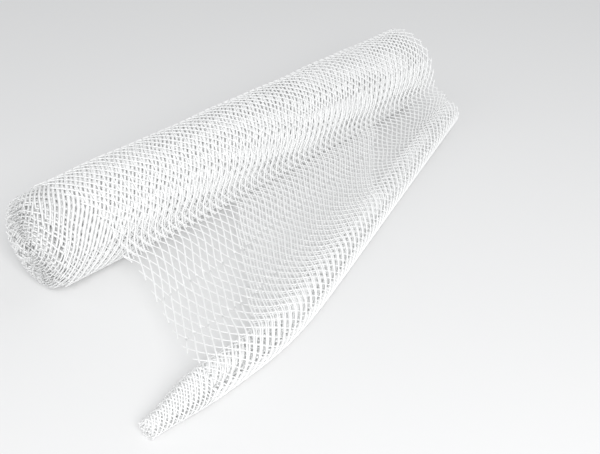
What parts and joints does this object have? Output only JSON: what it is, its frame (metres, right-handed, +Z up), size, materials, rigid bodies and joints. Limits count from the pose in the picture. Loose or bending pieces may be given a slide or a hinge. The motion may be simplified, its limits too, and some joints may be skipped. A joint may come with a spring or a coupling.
{
  "type": "rolled tree guard net",
  "caption": "Part-used roll of white diamond plastic net for wrapping tree trunks, lying flat, its loose leaf drawn out at the front and curled under at the end.",
  "frame": {"origin": "middle of the flat that the roll rests on, on the ground below the roll's middle line", "axes": "+X along the roll, from the end with the drawn-out centre to the other end; +Z up; the loose leaf lies towards -Y"},
  "size_m": [0.557, 0.2693, 0.0899],
  "materials": {
    "net": "translucent white extruded polyethylene net, soft sheen"
  },
  "bodies": {
    "roll": {"outer_winding": "net"},
    "leaf_base": {"leaf_bend": "net", "leaf_upper": "net"},
    "leaf_front": {"leaf_lower": "net"},
    "curl": {"curl_outer": "net", "curl_inner": "net"},
    "tail": {"tail_outer": "net", "tail_inner": "net"},
    "turn_1": {"winding_1": "net"},
    "turn_2": {"winding_2": "net"},
    "turn_3": {"winding_3": "net"},
    "turn_4": {"winding_4": "net"},
    "turn_5": {"winding_5": "net"},
    "turn_6": {"winding_6": "net"},
    "turn_7": {"winding_7": "net"},
    "turn_8": {"winding_8": "net"}
  },
  "joints": [
    {"name": "leaf_lift", "type": "hinge", "parent": "roll", "child": "leaf_base", "pos_m": [0, -0.0476, 0.04345], "axis": [-1, 0, 0], "range_deg": [0, 80]},
    {"name": "leaf_fold", "type": "hinge", "parent": "leaf_base", "child": "leaf_front", "pos_m": [0.0135, -0.102, 0.0262], "axis": [-0.9919, -0.1269, -0.0085], "range_deg": [-15, 35], "stiffness_Nm_per_rad": 0.05},
    {"name": "curl_unroll", "type": "hinge", "parent": "leaf_front", "child": "curl", "pos_m": [0, -0.149, 0.0333], "axis": [-0.9666, -0.2561, 0.0094], "range_deg": [0, 25], "stiffness_Nm_per_rad": 0.05},
    {"name": "tail_lift", "type": "hinge", "parent": "curl", "child": "tail", "pos_m": [-0.2475, -0.2059, 0.0356], "axis": [0, 1, 0], "range_deg": [0, 35], "stiffness_Nm_per_rad": 0.02},
    {"name": "core_slide", "type": "slide", "parent": "roll", "child": "turn_1", "axis": [1, 0, 0], "range_m": [-0.06, 0.012]},
    {"name": "turn_2_slide", "type": "slide", "parent": "roll", "child": "turn_2", "axis": [1, 0, 0], "range_m": [-0.0525, 0.0105]},
    {"name": "turn_3_slide", "type": "slide", "parent": "roll", "child": "turn_3", "axis": [1, 0, 0], "range_m": [-0.045, 0.009]},
    {"name": "turn_4_slide", "type": "slide", "parent": "roll", "child": "turn_4", "axis": [1, 0, 0], "range_m": [-0.0375, 0.0075]},
    {"name": "turn_5_slide", "type": "slide", "parent": "roll", "child": "turn_5", "axis": [1, 0, 0], "range_m": [-0.03, 0.006]},
    {"name": "turn_6_slide", "type": "slide", "parent": "roll", "child": "turn_6", "axis": [1, 0, 0], "range_m": [-0.0225, 0.0045]},
    {"name": "turn_7_slide", "type": "slide", "parent": "roll", "child": "turn_7", "axis": [1, 0, 0], "range_m": [-0.015, 0.003]},
    {"name": "turn_8_slide", "type": "slide", "parent": "roll", "child": "turn_8", "axis": [1, 0, 0], "range_m": [-0.0075, 0.0015]}
  ],
  "couplings": [
    {"joint": "turn_2_slide", "follows": "core_slide", "ratio": 0.875},
    {"joint": "turn_3_slide", "follows": "core_slide", "ratio": 0.75},
    {"joint": "turn_4_slide", "follows": "core_slide", "ratio": 0.625},
    {"joint": "turn_5_slide", "follows": "core_slide", "ratio": 0.5},
    {"joint": "turn_6_slide", "follows": "core_slide", "ratio": 0.375},
    {"joint": "turn_7_slide", "follows": "core_slide", "ratio": 0.25},
    {"joint": "turn_8_slide", "follows": "core_slide", "ratio": 0.125}
  ]
}
